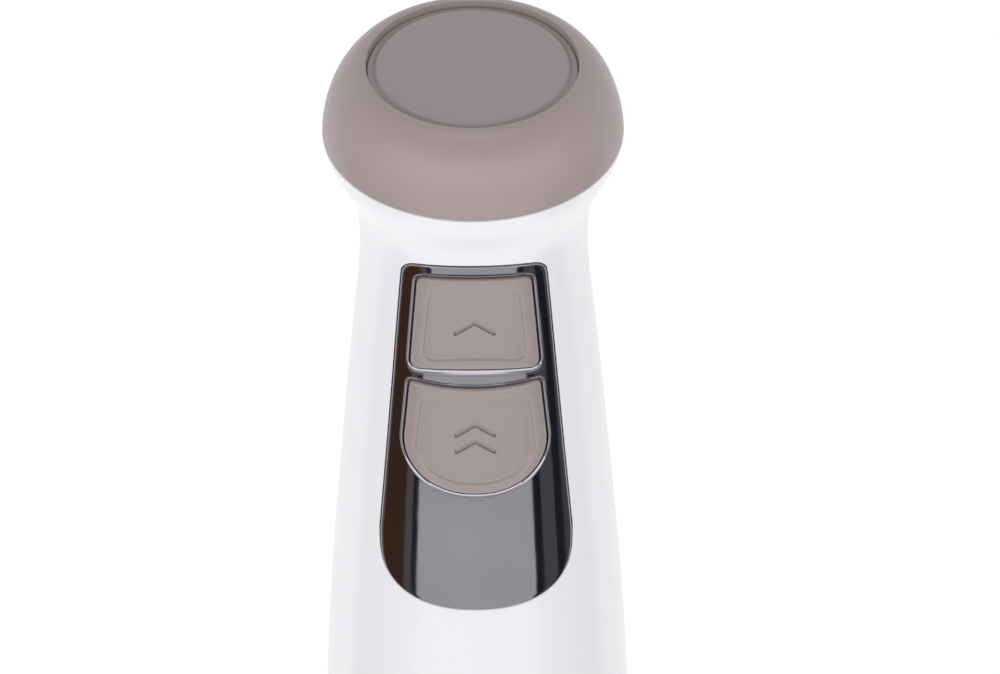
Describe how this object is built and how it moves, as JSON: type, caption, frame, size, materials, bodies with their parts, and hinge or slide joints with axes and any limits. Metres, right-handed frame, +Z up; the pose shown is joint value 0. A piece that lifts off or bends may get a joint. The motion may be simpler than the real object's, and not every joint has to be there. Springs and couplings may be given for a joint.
{
  "type": "immersion blender",
  "caption": "Hand-held immersion blender with a waisted grip, two stacked front buttons in a dark chrome bezel, a domed cap and a lift-off blending foot with a notched bell.",
  "frame": {"origin": "centre of the bell's rim plane, where the blender stands upright on its foot", "axes": "+Z up along the shaft to the domed cap, the buttons face -Y, +X to the right of a viewer who faces the buttons"},
  "size_m": [0.0666, 0.0656, 0.395],
  "materials": {
    "white_shell": "glossy",
    "taupe": "glossy",
    "taupe_satin": "satin",
    "dark_chrome": "mirror",
    "stainless": "brushed",
    "fastener_steel": "zinc plated",
    "spring_steel": "drawn",
    "bearing_steel": "ground",
    "bracket_steel": "pressed",
    "lamination": "lacquered sheets",
    "copper": "enamelled wire",
    "commutator_copper": "turned",
    "brass": "satin",
    "bronze": "sintered",
    "carbon": "pressed carbon",
    "black_plastic": "moulded",
    "grey_plastic": "moulded",
    "natural_plastic": "moulded",
    "red_plastic": "moulded",
    "yellow_film": "dipped",
    "board": "solder mask",
    "rubber": "moulded"
  },
  "bodies": {
    "blending_foot": {"foot_collar": "white_shell", "shaft_tube": "stainless", "bell_guard": "stainless", "bell_hub": "black_plastic", "foot_upper_bushing": "bronze", "foot_lower_bushing": "bronze", "shaft_seal": "rubber"},
    "motor_unit": {"top_cap": "taupe", "cap_disc": "taupe_satin", "cap_screw": "fastener_steel", "front_shell": "white_shell", "rear_shell": "white_shell", "shell_screws": "fastener_steel", "button_bezel": "dark_chrome", "speed_button_spring": "spring_steel", "turbo_button_spring": "spring_steel", "button_frame": "black_plastic", "switch_board": "board", "speed_switch": "red_plastic", "turbo_switch": "black_plastic", "speed_diode": "black_plastic", "board_screws": "fastener_steel", "chassis": "grey_plastic", "terminal_block": "natural_plastic", "suppression_capacitor": "yellow_film", "cord_gland": "rubber", "base_collar": "taupe", "base_screws": "fastener_steel", "socket_cup": "grey_plastic", "socket_seal": "rubber", "latch_ring": "spring_steel", "upper_bracket": "bracket_steel", "lower_bracket": "bracket_steel", "upper_bearing": "bearing_steel", "lower_bearing": "bearing_steel", "stator_core": "lamination", "field_coils": "copper", "brush_holders": "brass", "carbon_brushes": "carbon", "brush_springs": "spring_steel", "motor_screws": "fastener_steel", "motor_mount_ring": "rubber"},
    "blade_drive": {"drive_shaft": "bearing_steel", "shaft_clip": "spring_steel", "blade_spacer": "brass", "blade": "stainless", "blade_nut": "stainless"},
    "rotor": {"motor_shaft": "bearing_steel", "armature_core": "lamination", "armature_windings": "copper", "commutator": "commutator_copper", "cooling_fan": "black_plastic", "drive_coupler": "black_plastic"},
    "speed_button": {"speed_button": "taupe_satin", "speed_plunger": "natural_plastic"},
    "turbo_button": {"turbo_button": "taupe_satin", "turbo_plunger": "natural_plastic"},
    "left_release": {"left_release_button": "taupe_satin"},
    "right_release": {"right_release_button": "taupe_satin"}
  },
  "joints": [
    {"name": "detach", "type": "slide", "parent": "blending_foot", "child": "motor_unit", "axis": [0, 0, 1], "range_m": [0, 0.04], "deforming": ["latch_ring"]},
    {"name": "rotor_spin", "type": "hinge", "parent": "motor_unit", "child": "rotor", "pos_m": [0, 0, 0.25], "axis": [0, 0, 1], "continuous": true},
    {"name": "blade_spin", "type": "hinge", "parent": "blending_foot", "child": "blade_drive", "pos_m": [0, 0, 0.1], "axis": [0, 0, 1], "continuous": true},
    {"name": "speed_press", "type": "slide", "parent": "motor_unit", "child": "speed_button", "axis": [0, 1, 0], "range_m": [0, 0.0016], "stiffness_N_per_m": 800, "springref_m": -0.0012, "deforming": ["speed_button_spring"]},
    {"name": "turbo_press", "type": "slide", "parent": "motor_unit", "child": "turbo_button", "axis": [0, 1, 0], "range_m": [0, 0.0016], "stiffness_N_per_m": 800, "springref_m": -0.0012, "deforming": ["turbo_button_spring"]},
    {"name": "left_release_press", "type": "slide", "parent": "motor_unit", "child": "left_release", "axis": [1, 0, 0], "range_m": [0, 0.0022], "stiffness_N_per_m": 1500, "springref_m": -0.001, "deforming": ["latch_ring"]},
    {"name": "right_release_press", "type": "slide", "parent": "motor_unit", "child": "right_release", "axis": [-1, 0, 0], "range_m": [0, 0.0022], "stiffness_N_per_m": 1500, "springref_m": -0.001, "deforming": ["latch_ring"]}
  ],
  "couplings": [
    {"joint": "blade_spin", "follows": "rotor_spin", "ratio": 1}
  ]
}
